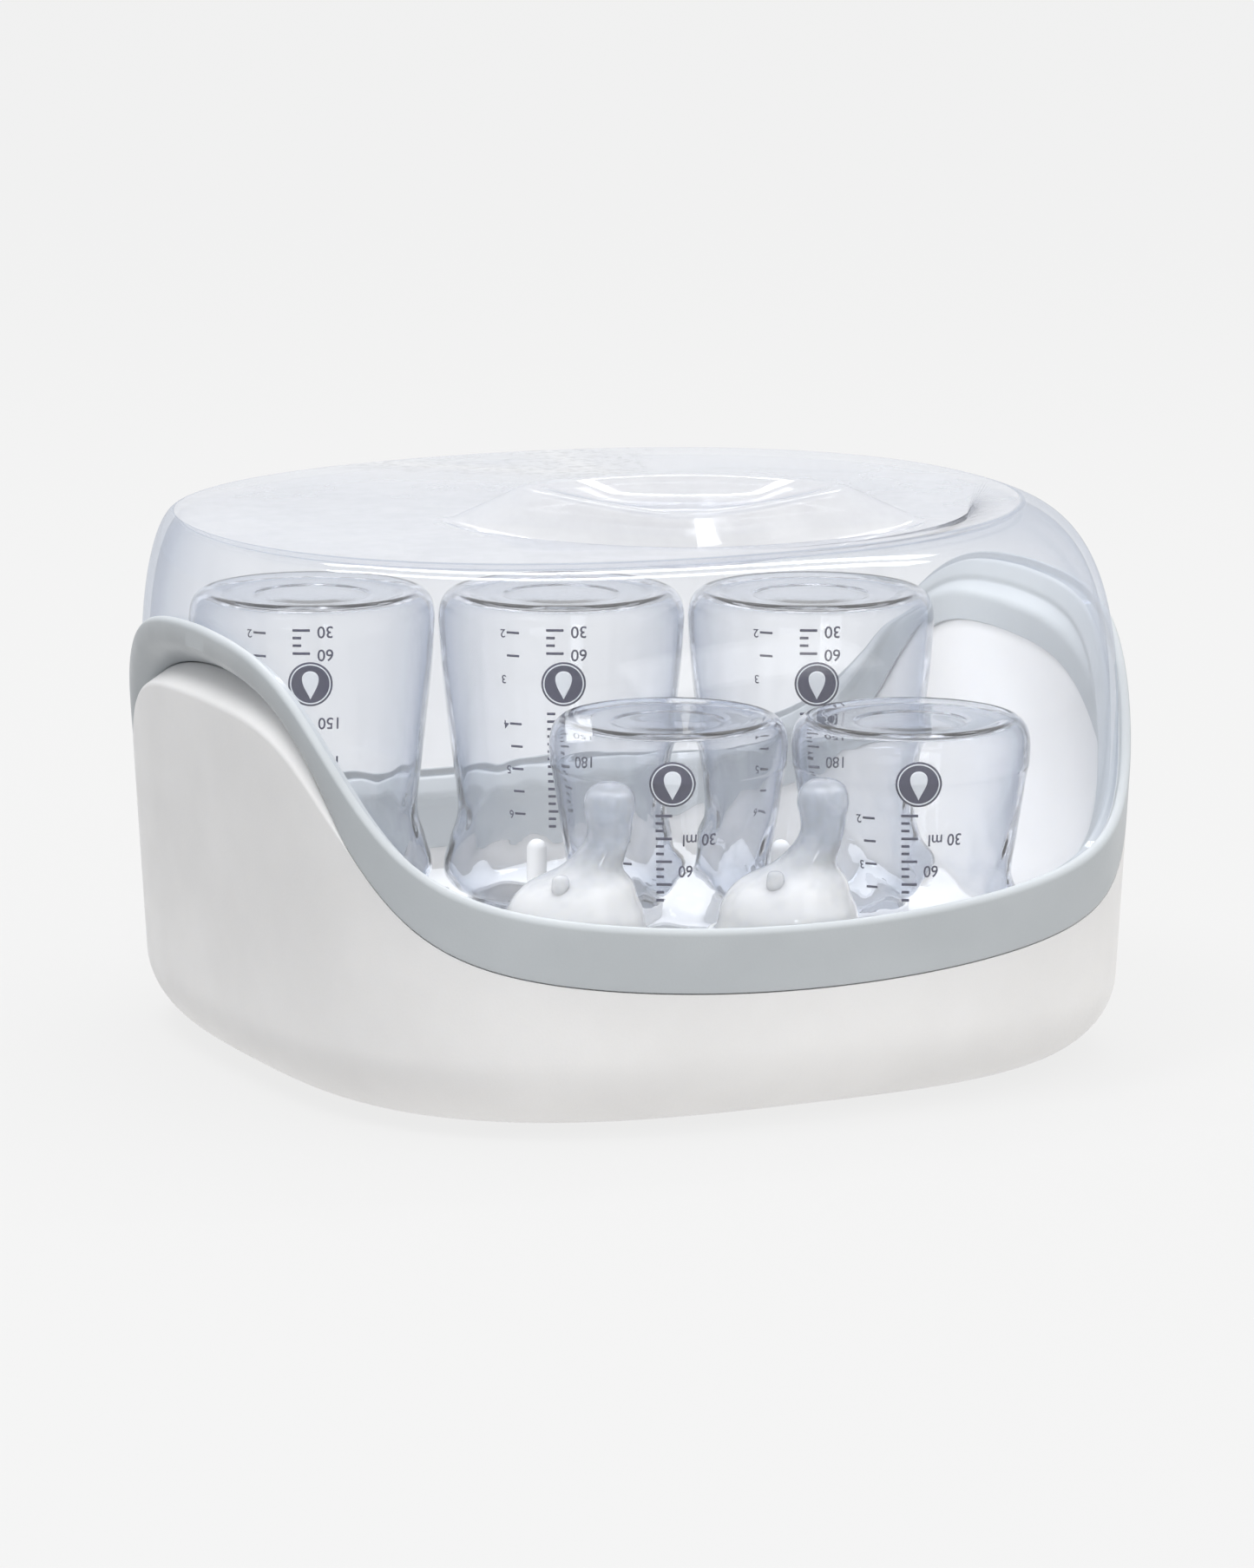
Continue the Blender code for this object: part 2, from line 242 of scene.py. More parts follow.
def soften(rings, steps=4):
    """Round a stack of (ring, reach): a ring with a reach becomes a quadratic curve that leaves
    its neighbours' straight lines that far before and after it."""
    stack = [ring for ring, _ in rings]
    out = []
    for place, (ring, reach) in enumerate(rings):
        if reach == 0 or place in (0, len(rings) - 1):
            out.append(ring)
            continue
        back = stack[place - 1] - ring
        on = stack[place + 1] - ring
        back_length = np.linalg.norm(back, axis=1, keepdims=True)
        on_length = np.linalg.norm(on, axis=1, keepdims=True)
        start = ring + back * np.minimum(0.45, reach / np.maximum(back_length, 1e-9))
        end = ring + on * np.minimum(0.45, reach / np.maximum(on_length, 1e-9))
        for step in range(steps + 1):
            share = step / steps
            out.append((1 - share) ** 2 * start + 2 * share * (1 - share) * ring + share ** 2 * end)
    return np.stack(out)


def soften_loop(rings, steps=4):
    """soften for a closed loop of rings, where the first and the last are neighbours too."""
    wrapped = [rings[-1]] + rings + [rings[0]]
    return soften(wrapped, steps)[1:-1]


def through(points, steps):
    """A smooth curve through (radius, height) points: a Catmull-Rom cubic between each pair."""
    points = np.array(points, float)
    padded = np.vstack((2 * points[0] - points[1], points, 2 * points[-1] - points[-2]))
    share = np.linspace(0, 1, steps, endpoint=False)[:, None]
    runs = []
    for start in range(len(points) - 1):
        before, first, second, beyond = padded[start:start + 4]
        runs.append(
            first
            + 0.5 * share * (second - before)
            + share ** 2 * (before - 2.5 * first + 2 * second - 0.5 * beyond)
            + share ** 3 * (1.5 * (first - second) + 0.5 * (beyond - before))
        )
    return np.vstack(runs + [points[-1:]])


def turned(profile, centre, count, drift=None):
    """Revolve (radius, height) rows about an upright axis; drift(height) moves a ring sideways
    along the rows."""
    turn = np.linspace(0, 2 * math.pi, count, endpoint=False)
    radius, height = np.array(profile, float).T
    shift = drift(height) if drift else np.zeros_like(height)
    x = centre[0] + radius[:, None] * np.cos(turn) + shift[:, None] * math.cos(row_turn)
    y = centre[1] + radius[:, None] * np.sin(turn) + shift[:, None] * math.sin(row_turn)
    return np.stack((x, y, np.broadcast_to(height[:, None], x.shape)), axis=-1)


# ==== the saddle shells ====

def rounded_radius(angle, length, depth, power):
    """Distance to a rounded rectangle: the minus first power of the power mean of its sides."""
    share_x = np.abs(np.cos(angle)) / length
    share_y = np.abs(np.sin(angle)) / depth
    return (share_x ** power + share_y ** power) ** (-1 / power)


def outline(inset):
    """X and Y of the plan outline, moved in by inset, which may be one value per angle."""
    radius = rounded_radius(angles, half_length - inset, half_depth - inset, plan_power)
    return radius * np.cos(angles), radius * np.sin(angles)


def lean(height):
    """Inward lean of the walls at a height."""
    return flare * (ear_rim - height)


def from_ear(angle):
    """Angle from the nearer ear."""
    return np.arctan2(np.abs(np.sin(angle)), np.abs(np.cos(angle)))


def saddle(low, high):
    """Edge height: a logistic fall from the ears, and a small climb at the corners."""
    fall = 1 / (1 + np.exp((from_ear(angles) - ear_angle) / ear_blend))
    share = fall * (1 + math.exp(-ear_angle / ear_blend))
    corner = corner_lift * np.cos(angles) ** 2 * (1 - share)
    return low + (high - low) * share + corner


seam = saddle(front_seam, ear_seam)
rim = saddle(front_rim, ear_rim)
ledge_share = np.clip(1 - (from_ear(angles) / grip_ledge_angle) ** 2, 0, 1)
ledge = grip_ledge_depth * ledge_share
ledge_drop = grip_ledge_height * ledge_share


def ring(inset, height):
    """One ring on the plan outline."""
    x, y = outline(inset)
    return np.column_stack((x, y, np.broadcast_to(height, x.shape)))


def make_bowl(finish):
    """White bowl: a sunk panel under the foot, a round up to the leaning wall, a finger ledge
    under each ear, and inside a step for the rack over the water well."""
    rack_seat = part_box("rack")[0].z - gap
    panel = foot_radius + lean(0)
    outside = [
        (ring(panel + panel_floor, panel_depth), 0),
        (ring(panel + panel_edge, panel_depth), 0.001),
        (ring(panel + foot_edge, 0.0), 0.001),
    ]
    for step in range(foot_steps + 1):
        turn = step / foot_steps * math.pi / 2
        height = foot_radius * (1 - math.cos(turn))
        outside.append((ring(lean(height) + foot_radius * (1 - math.sin(turn)), height), 0))
    below = seam - ledge_drop
    for share in (0.25, 0.5, 0.75):
        height = foot_radius + (below - foot_radius) * share
        outside.append((ring(lean(height), height), 0))
    outside.append((ring(lean(below), below), 0.0012))
    outside.append((ring(lean(seam) + ledge, seam), 0.0006))
    inner = lean(seam) + ledge + base_wall
    skirt_foot = seam - skirt_depth - skirt_room
    well = lean(rack_seat) + base_wall + rack_seat_width
    inside = [
        (ring(inner, seam), 0.0006),
        (ring(lean(skirt_foot) + ledge + base_wall, skirt_foot), 0.002),
        (ring(lean(rack_seat) + base_wall, rack_seat), 0.0015),
        (ring(well, rack_seat), 0.0015),
    ]
    for (inward, rise), reach in zip(well_round, (0.003, 0.003, 0.002)):
        inside.append((ring(well + inward, base_wall + rise), reach))
    inside.append((ring(well_floor, base_wall), 0))
    shape = skin(soften(outside + inside))
    made = piece("bowl_shell", shape, finish, "base")
    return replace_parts(made, "base_bowl")


def make_band(finish):
    """Grey band: rounded lip outside the lid, a seat for it, a flange that slopes inwards, and a
    skirt down into the bowl. Over a finger ledge its foot folds in."""
    foot = seam + gap
    fold = foot + fold_height
    skirt_inset = lean(seam) + ledge + base_wall + gap
    skirt_foot = seam - skirt_depth
    edge = lean(rim)
    rings = [
        (ring(lean(foot) + ledge, foot), 0.0004),
        (ring(lean(fold) + fold_share * ledge, fold), 0.0022),
        (ring(lean((foot + rim) / 2), (foot + rim) / 2), 0),
        (ring(lean(rim - lip_round), rim - lip_round), 0.0009),
        (ring(edge + lip_round, rim), 0.0007),
        (ring(edge + lip_width, rim), 0.0006),
        (ring(edge + lip_width + lip_slope, rim - lid_drop), 0.0004),
        (ring(edge + lip_width + seat_width, rim - lid_drop), 0.0010),
        (ring(edge + flange_width, rim - flange_drop), 0.0008),
        (ring(edge + flange_width, rim - flange_drop - flange_edge), 0.0006),
        (ring(skirt_inset + skirt_wall, rim - flange_drop - flange_root), 0.0020),
        (ring(skirt_inset + skirt_wall, skirt_foot), 0.0005),
        (ring(skirt_inset, skirt_foot), 0.0005),
        (ring(skirt_inset, foot), 0.0004),
    ]
    made = piece("saddle_band", skin(soften_loop(rings), loop=True), finish, "base")
    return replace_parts(made, "rim_band")


def top_ring(inset, height):
    """A ring of the lid's flat top, which lies towards the back."""
    radius = rounded_radius(angles, top_half_length - inset, top_half_depth - inset, top_power)
    y = top_back_shift + radius * np.sin(angles)
    return np.column_stack((radius * np.cos(angles), y, np.full(sides, height)))


def grip_ring(length, depth, height):
    """An almond ring about the grip's middle, turned with the rows."""
    radius = rounded_radius(angles, length, depth, grip_power)
    along = radius * np.cos(angles)
    across = radius * np.sin(angles)
    x = grip_centre[0] + along * math.cos(row_turn) - across * math.sin(row_turn)
    y = grip_centre[1] + along * math.sin(row_turn) + across * math.cos(row_turn)
    return np.column_stack((x, y, np.broadcast_to(height, x.shape)))


def dome(inset, top, foot):
    """Lid wall from its edge, then the shoulder: a quarter ellipse at every angle from the wall
    to the edge of the flat top."""
    edge = lean(rim) + lip_width + lip_slope + gap + inset
    start = np.maximum(shoulder_start, rim + shoulder_room)
    wall_x, wall_y = outline(edge + lid_lean * (start - rim))
    wall = np.column_stack((wall_x, wall_y, start))
    low = ring(edge, foot)
    rings = [low, low + (wall - low) * 0.35, low + (wall - low) * 0.7, wall]
    flat = top_ring(inset, top)
    for step in range(1, dome_steps + 1):
        turn = step / dome_steps * math.pi / 2
        blend = 1 - math.cos(turn)
        x = wall_x + (flat[:, 0] - wall_x) * blend
        y = wall_y + (flat[:, 1] - wall_y) * blend
        rings.append(np.column_stack((x, y, start + (top - start) * math.sin(turn))))
    return rings


def grip(top, thickness):
    """Rings with their rounding: finger scoops before and behind, a wall up to the almond rim,
    and a shallow dish inside it."""
    depth_share = np.abs(np.sin(angles))
    front_share = np.clip(-np.sin(angles), 0, 1)
    scoop = top - scoop_depth * depth_share
    rim_height = top + grip_rise - grip_front_dip * front_share
    length = grip_half_length - thickness
    depth = grip_half_depth - thickness
    foot_length = length + grip_ramp
    dish = top + grip_rise - dish_depth
    return [
        (grip_ring(foot_length + 0.014, depth + scoop_reach + 0.016, top), 0),
        (grip_ring(foot_length + 0.004, depth + scoop_reach + 0.004, top), 0.006),
        (grip_ring(foot_length + grip_draft, depth + scoop_reach * scoop_floor, scoop), 0.008),
        (grip_ring(foot_length, depth + grip_draft, scoop), 0.004),
        (grip_ring(length, depth, rim_height), 0.0016),
        (grip_ring(length * grip_lip[0], depth * grip_lip[1], rim_height), 0.0016),
        (grip_ring(length * dish_share, depth * dish_share, dish), 0.006),
        (grip_ring(length * 0.15, depth * 0.15, dish - 0.0005), 0),
    ]


def make_lid(finish):
    """Clear lid: one thin shell, from the middle of its underside to its edge and back up over
    its outside."""
    foot = rim - lid_drop + gap
    outside = np.vstack((np.stack(dome(0.0, lid_height, foot)), soften(grip(lid_height, 0.0), 6)))
    under = lid_height - lid_wall
    inside = np.vstack((np.stack(dome(lid_wall, under, foot)), soften(grip(under, lid_wall), 6)))
    rings = np.concatenate((inside[::-1], outside))
    made = piece("clear_lid", skin(rings), finish, "lid", 50)
    flat_rows = len(outside) - dome_rows
    rows = np.arange(len(rings))
    from_end = np.minimum(rows, len(rings) - 1 - rows)
    frosted = np.clip((flat_rows + 2 - from_end) / 2, 0, 1)
    values = np.append(np.repeat(frosted, sides), (1.0, 1.0))
    made.data.attributes.new("frosted", "FLOAT", "POINT").data.foreach_set("value", values)
    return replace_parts(made, "lid")


# ==== the rack ====

def middle(node):
    """Middle of a node's box, seen from above."""
    low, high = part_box(node)
    return (low.x + high.x) / 2, (low.y + high.y) / 2


def circle(centre, radius, count, height):
    """A level circle of points."""
    turn = np.linspace(0, 2 * math.pi, count, endpoint=False)
    x = centre[0] + radius * np.cos(turn)
    y = centre[1] + radius * np.sin(turn)
    return np.column_stack((x, y, np.full(count, height)))


def plate(edge, holes, low, high):
    """A flat plate with round holes: the outline and the holes as walls, and two faces that
    fill the outline less the holes."""
    loops = [edge] + holes
    level = [Vector(tuple(point)) for loop in loops for point in loop]
    fill = tessellate_polygon([[Vector(tuple(point)) for point in loop] for loop in loops])
    flat = np.array([tuple(point) for point in level])
    count = len(flat)
    top = flat.copy()
    top[:, 2] = high
    bottom = flat.copy()
    bottom[:, 2] = low
    faces = []
    for triangle in fill:
        first, second, third = (flat[corner] for corner in triangle)
        rise = np.cross(second - first, third - first)[2]
        upward = list(triangle) if rise > 0 else list(triangle)[::-1]
        faces.append([corner + count for corner in upward])
        faces.append(upward[::-1])
    start = 0
    for place, loop in enumerate(loops):
        own = np.arange(start, start + len(loop))
        following = np.roll(own, -1)
        wall = np.column_stack((own, following, following + count, own + count))
        faces.extend((wall if place == 0 else wall[:, ::-1]).tolist())
        start += len(loop)
    return np.vstack((bottom, top)), faces


def tube(centre, inner, outer, low, high, lead=0.0006):
    """An upright tube with softened edges, as a closed loop."""
    profile = (
        (outer, low), (outer, high - lead), (outer - lead, high),
        (inner + lead, high), (inner, high - lead), (inner, low),
    )
    return skin(turned(profile, centre, 64), loop=True)


def make_rack(finish):
    """White lift-out rack: plate with steam holes, a collar for each bottle, a hollow pedestal
    for each teat and two posts with rounded tips."""
    rack_low, rack_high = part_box("rack")
    low = rack_low.z
    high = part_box(backs[0])[0].z - gap
    skirt = lean(seam) + ledge + base_wall + gap + skirt_wall
    inset = np.maximum(lean(rim) + flange_width, skirt) + 0.0015
    bottles = [middle(node) for node in backs + fronts]
    stands = [middle(node) for node in teats]
    holes = [circle(spot, steam_hole_radius, 48, low) for spot in bottles]
    holes += [circle(spot, pedestal_bore, 48, low) for spot in stands]
    holes += [circle(spot, drain_radius, 24, low) for spot in drain_places]
    shapes = [plate(ring(inset, low), holes, low, high)]
    bore = neck_radius + neck_clearance
    for spot in bottles:
        collar = tube(spot, bore, bore + collar_wall, high - 0.0005, high + collar_height)
        shapes.append(collar)
    teat_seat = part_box(teats[0])[0].z - gap
    for spot in stands:
        shapes.append(tube(spot, pedestal_bore, pedestal_radius, high - 0.0005, teat_seat))
    tip = rack_high.z
    for along, near in post_places:
        spot = (along * math.cos(row_turn) + near * math.sin(row_turn),
                along * math.sin(row_turn) - near * math.cos(row_turn))
        rise = np.linspace(0, math.pi / 2, 8, endpoint=False)
        profile = [(post_radius + 0.002, high - 0.0005), (post_radius, high + 0.003)]
        profile += list(zip(post_radius * np.cos(rise), tip - post_radius * (1 - np.sin(rise))))
        shapes.append(skin(turned(profile, spot, 32)))
    made = piece("drainer_rack", joined(shapes), finish, "rack", 30)
    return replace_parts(made, "rack")


# ==== bottles ====

def bottle_wall_line(radius, top, foot):
    """(radius, height) points up the outside of an upturned bottle: mouth, neck, shoulder,
    waist and the widening body up to the round of its base."""
    waist_height = shoulder_height + 0.22 * (top - shoulder_height)
    waist = radius * 0.85
    shoulder = radius - 0.0012
    return (
        (neck_radius, foot),
        (neck_radius, shoulder_height - 0.010),
        (neck_radius + 0.0022, shoulder_height - 0.0075),
        (shoulder - 0.0022, shoulder_height - 0.0045),
        (shoulder, shoulder_height + 0.0005),
        ((waist + shoulder) / 2, (waist_height + shoulder_height) / 2),
        (waist, waist_height),
        (waist + 0.35 * (radius - waist), waist_height + 0.28 * (top - waist_height)),
        (waist + 0.8 * (radius - waist), waist_height + 0.62 * (top - waist_height)),
        (radius - 0.0002, top - 0.014),
    )


def bottle_rings(radius, top, foot):
    """Rings of an upturned bottle, from the middle of its base inside to the middle of its base
    outside: a base with a raised foot ring and two shallow steps."""
    wall = through(bottle_wall_line(radius, top, foot), 6)
    hollow = wall - (bottle_wall, 0)
    inner_base = through((
        hollow[-1],
        (radius - 0.0019, top - 0.0080),
        (radius - 0.0030, top - 0.0043),
        (radius - 0.0058, top - 0.0024),
        (radius * 0.72, top - 0.0029),
        (radius * 0.50, top - 0.0034),
        (radius * 0.20, top - 0.0038),
    ), 6)[1:]
    base = through((
        wall[-1],
        (radius, top - 0.0075),
        (radius - 0.0012, top - 0.0028),
        (radius - 0.0042, top - 0.0002),
        (radius * 0.80, top - 0.0003),
        (radius * 0.72, top - 0.0011),
        (radius * 0.67, top - 0.0014),
        (radius * 0.51, top - 0.0016),
        (radius * 0.46, top - 0.0020),
        (radius * 0.41, top - 0.0021),
        (radius * 0.12, top - 0.0020),
    ), 5)[1:]
    return np.vstack((inner_base[::-1], hollow[::-1], wall, base)), wall, len(inner_base)


def rippled(rings, centre, first, last, depth):
    """The hollow side of a blown bottle: its radius swells and shrinks in slow waves around and
    along the wall, strongest over the waist."""
    moved = rings.copy()
    part = moved[first:last]
    offset = part[..., :2] - centre
    turn = np.arctan2(offset[..., 1], offset[..., 0])
    height = part[..., 2]
    swell = np.exp(-((height - shoulder_height - 0.012) / 0.016) ** 2)
    wave = np.sin(9 * turn + 260 * height) + 0.7 * np.sin(16 * turn - 330 * height + 1.3)
    grow = 1 + depth * swell * wave / np.linalg.norm(offset, axis=-1)
    moved[first:last, :, :2] = centre + offset * grow[..., None]
    return moved


def printed(flat, centre, wall, facing, lift):
    """Lay flat (sideways, height) points on a bottle: sideways becomes an arc about the axis at
    the wall's own radius, plus a hair."""
    sideways, height = flat.T
    radius = np.interp(height, wall[:, 1], wall[:, 0]) + lift
    turn = facing + sideways / wall[:, 0].max()
    return np.column_stack((centre[0] + radius * np.cos(turn), centre[1] + radius * np.sin(turn),
                            height))


def patch(left, right, low, high, across=6, up=2):
    """A flat rectangle as a grid of (sideways, height) points, with its faces."""
    u, v = np.meshgrid(np.linspace(left, right, across), np.linspace(low, high, up))
    index = np.arange(across * up).reshape(up, across)
    corners = (index[:-1, :-1], index[:-1, 1:], index[1:, 1:], index[1:, :-1])
    faces = np.stack(corners, axis=-1).reshape(-1, 4).tolist()
    return np.column_stack((u.ravel(), v.ravel())), faces


def blob(x, y, centre, rows=8):
    """A flat shape filled by shrinking its closed outline (x, y) to its middle."""
    share = np.linspace(1, 0.03, rows)[:, None]
    flat = np.stack((centre[0] + share * x, centre[1] + share * y), axis=-1)
    around = len(x)
    index = np.arange(rows * around).reshape(rows, around)
    after = np.roll(index, -1, axis=1)
    quads = np.stack((index[:-1], after[:-1], after[1:], index[1:]), axis=-1).reshape(-1, 4)
    middle_index = np.full(around, rows * around)
    fan = np.column_stack((index[-1], after[-1], middle_index))
    points = np.vstack((flat.reshape(-1, 2), [centre]))
    return points, quads.tolist() + fan.tolist()


def digits(words, size, centre):
    """Words in the plain built-in face as flat points and faces, turned upside down because the
    bottle stands on its mouth."""
    curve = bpy.data.curves.new("digits", "FONT")
    curve.body = words
    curve.size = size
    curve.offset = size * 0.01
    curve.align_x = "CENTER"
    curve.align_y = "CENTER"
    made = bpy.data.objects.new("digits", curve)
    bpy.context.scene.collection.objects.link(made)
    mesh = bpy.data.meshes.new_from_object(made)
    flat = np.zeros(len(mesh.vertices) * 3)
    mesh.vertices.foreach_get("co", flat)
    flat = flat.reshape(-1, 3)[:, :2]
    faces = [list(face.vertices) for face in mesh.polygons]
    bpy.data.objects.remove(made)
    bpy.data.curves.remove(curve)
    bpy.data.meshes.remove(mesh)
    return np.array(centre) - flat, faces


def lay_print(name, shapes, node, wall, facing, finish, lift):
    """Join flat shapes and wrap them on a bottle as a thin layer."""
    points, faces = joined(shapes)
    laid = printed(points, middle(node), wall, facing, lift)
    made = piece(name, (laid, faces), finish, node, 60)
    layer = made.modifiers.new("film", "SOLIDIFY")
    layer.thickness = film
    layer.offset = 1.0
    return made


def scale_marks(top, marks, labels, badge):
    """Printed scale of one bottle: a long and two short strokes for each mark, labels beside
    it, and a second finer scale to its left. marks and labels give depths below the base."""
    shapes = []
    for depth in marks:
        height = top - depth
        for row, length in enumerate(stroke_lengths):
            level = height - row * stroke_pitch
            if abs(level - badge) > badge_room:
                shapes.append(patch(stroke_left, stroke_left + length, level, level + stroke))
        if abs(height - badge) > badge_room:
            low = height - fine_drop
            shapes.append(patch(*fine_strokes, low, low + fine_stroke))
    for words, depth in labels:
        sideways = digit_place + digit_spacing * (len(words) - 2)
        shapes.append(digits(words, digit_size, (sideways, top - depth)))
    sideways, drop = fine_digit_place
    for count, depth in enumerate(marks[::2]):
        shapes.append(digits(str(count + 2), fine_digit_size, (sideways, top - depth + drop)))
    return shapes


def make_bottle(node, finish, ink, pale, marks, labels, badge_depth):
    """One bottle with its scale and a round badge that shows a drop."""
    low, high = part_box(node)
    radius = (high.x - low.x) / 2
    centre = middle(node)
    profile, wall, inner_rows = bottle_rings(radius, high.z, low.z)
    rings = turned(profile, centre, bottle_sides)
    rings = rippled(rings, centre, inner_rows, inner_rows + len(wall), ripple_depth)
    glass = piece(node + "_glass", skin(rings), finish, node, 50)
    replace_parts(glass, node)
    facing = math.atan2(-math.cos(view_turn), math.sin(view_turn))
    badge = high.z - badge_depth
    spot = (badge_shift, badge)
    shapes = scale_marks(high.z, marks, labels, badge)
    turn = np.linspace(0, 2 * math.pi, 48, endpoint=False)
    shapes.append(blob(badge_radius * np.cos(turn), badge_radius * np.sin(turn), spot))
    lay_print(node + "_scale", shapes, node, wall, facing, ink, ink_lift)
    drop_x = drop_size[0] * np.sin(turn) * np.sin(turn / 2) ** 1.5
    drop_y = drop_size[1] * np.cos(turn)
    drop = blob(-drop_x, -drop_y - 0.0004, spot)
    line = patch_ring(*badge_line, spot)
    lay_print(node + "_badge", [drop, line], node, wall, facing, pale, pale_lift)
    return glass


def patch_ring(inner, outer, centre):
    """A thin flat ring."""
    turn = np.linspace(0, 2 * math.pi, 48, endpoint=False)
    radius = np.array((outer, inner))[:, None]
    flat = np.stack((centre[0] + radius * np.cos(turn), centre[1] + radius * np.sin(turn)), -1)
    index = np.arange(2 * len(turn)).reshape(2, -1)
    after = np.roll(index, -1, axis=1)
    quads = np.stack((index[0], after[0], after[1], index[1]), axis=-1)
    return flat.reshape(-1, 2), quads.tolist()


# ==== teats ====

def make_teat(node, finish):
    """Silicone teat: a flat flange with a rounded edge, a domed skirt, a narrow neck and a
    rounded tip, hollow inside. The tip leans along the rows."""
    low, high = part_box(node)
    foot = low.z
    tip = high.z
    radius = (high.x - low.x) / 2
    outside = through((
        (radius - 0.0006, foot),
        (radius, foot + 0.0014),
        (radius - 0.0006, foot + 0.0028),
        (radius - 0.0026, foot + 0.0034),
        (radius - 0.0036, foot + 0.0062),
        (radius - 0.0045, foot + 0.0105),
        (radius - 0.0085, foot + 0.0175),
        (radius - 0.0145, foot + 0.0222),
        (0.0074, foot + 0.0265),
        (0.0065, foot + 0.0310),
        (0.0067, foot + 0.0360),
        (0.0076, foot + 0.0405),
        (0.0066, foot + 0.0447),
        (0.0038, tip - 0.0006),
        (0.0010, tip),
    ), 6)
    hollow = through((
        (0.0010, tip - 0.0030),
        (0.0035, tip - 0.0034),
        (0.0053, foot + 0.0420),
        (0.0048, foot + 0.0340),
        (0.0052, foot + 0.0275),
        (radius - 0.0175, foot + 0.0207),
        (radius - 0.0105, foot + 0.0155),
        (radius - 0.0062, foot + 0.0090),
        (radius - 0.0062, foot),
    ), 6)

    def drift(height):
        share = np.clip((height - foot - 0.012) / 0.022, 0, 1)
        return nipple_shift * (3 * share ** 2 - 2 * share ** 3)

    rings = turned(np.vstack((hollow, outside)), middle(node), teat_sides, drift)
    shapes = [skin(rings)]
    centre = middle(node)
    spot = (centre[0] - 0.004 * math.cos(row_turn) + 0.012 * math.sin(row_turn),
            centre[1] - 0.004 * math.sin(row_turn) - 0.012 * math.cos(row_turn))
    valve = through(((0.0026, foot + 0.0140), (0.0025, foot + 0.0205), (0.0018, foot + 0.0222),
                     (0.0005, foot + 0.0226)), 4)
    shapes.append(skin(turned(valve, spot, 32)))
    made = piece(node + "_silicone", joined(shapes), finish, node, 60)
    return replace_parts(made, node)


# ==== finishes ====

def add(tree, kind, inputs=None, **settings):
    """Add a node. An input is a value or another node's output."""
    made = tree.nodes.new("ShaderNode" + kind)
    for key, value in settings.items():
        setattr(made, key, value)
    for key, value in (inputs or {}).items():
        if isinstance(value, bpy.types.NodeSocket):
            tree.links.new(value, made.inputs[key])
        else:
            made.inputs[key].default_value = value
    return made


def material(name):
    """An empty material: its tree and its output."""
    made = bpy.data.materials.new(name)
    made.use_nodes = True
    made.node_tree.nodes.clear()
    return made, made.node_tree, made.node_tree.nodes.new("ShaderNodeOutputMaterial")


def noise(tree, coords, scale, detail=2.0):
    """Noise on object coordinates: cells per metre."""
    return add(tree, "TexNoise", {"Vector": coords, "Scale": scale, "Detail": detail}).outputs[0]


def spread(tree, value, low, high, start=0.35, end=0.65):
    """Stretch a 0 to 1 value over a new range."""
    inputs = {"Value": value, "From Min": start, "From Max": end, "To Min": low, "To Max": high}
    return add(tree, "MapRange", inputs).outputs[0]


def tint(tree, share, first, second):
    """Blend two colours by a share."""
    mix = add(tree, "Mix", {"Factor": share}, data_type="RGBA")
    mix.inputs[6].default_value = (*first, 1)
    mix.inputs[7].default_value = (*second, 1)
    return mix.outputs[2]


def moulded(name, shade, bright, rough, grain, depth):
    """Injection-moulded plastic: two close tones in slow clouds and fine specks, a fine eggshell
    grain, and a gloss that varies a little."""
    made, tree, output = material(name)
    coords = add(tree, "TexCoord").outputs["Object"]
    clouds = spread(tree, noise(tree, coords, 28, 3), 0.0, 0.8)
    specks = spread(tree, noise(tree, coords, 2600, 1), 0.0, 0.2)
    both = add(tree, "Math", {0: clouds, 1: specks}, operation="ADD").outputs[0]
    colour = tint(tree, both, shade, bright)
    gloss = spread(tree, noise(tree, coords, 90, 4), rough - 0.05, rough + 0.06)
    height = noise(tree, coords, grain, 2)
    bump = add(tree, "Bump", {"Strength": 0.25, "Distance": depth, "Height": height}).outputs[0]
    shader = add(tree, "BsdfPrincipled", {
        "Base Color": colour, "Roughness": gloss, "Normal": bump, "IOR": 1.49,
        "Subsurface Weight": 0.12, "Subsurface Scale": 0.004,
        "Subsurface Radius": (1.0, 0.95, 0.85),
    })
    tree.links.new(shader.outputs[0], output.inputs[0])
    return made


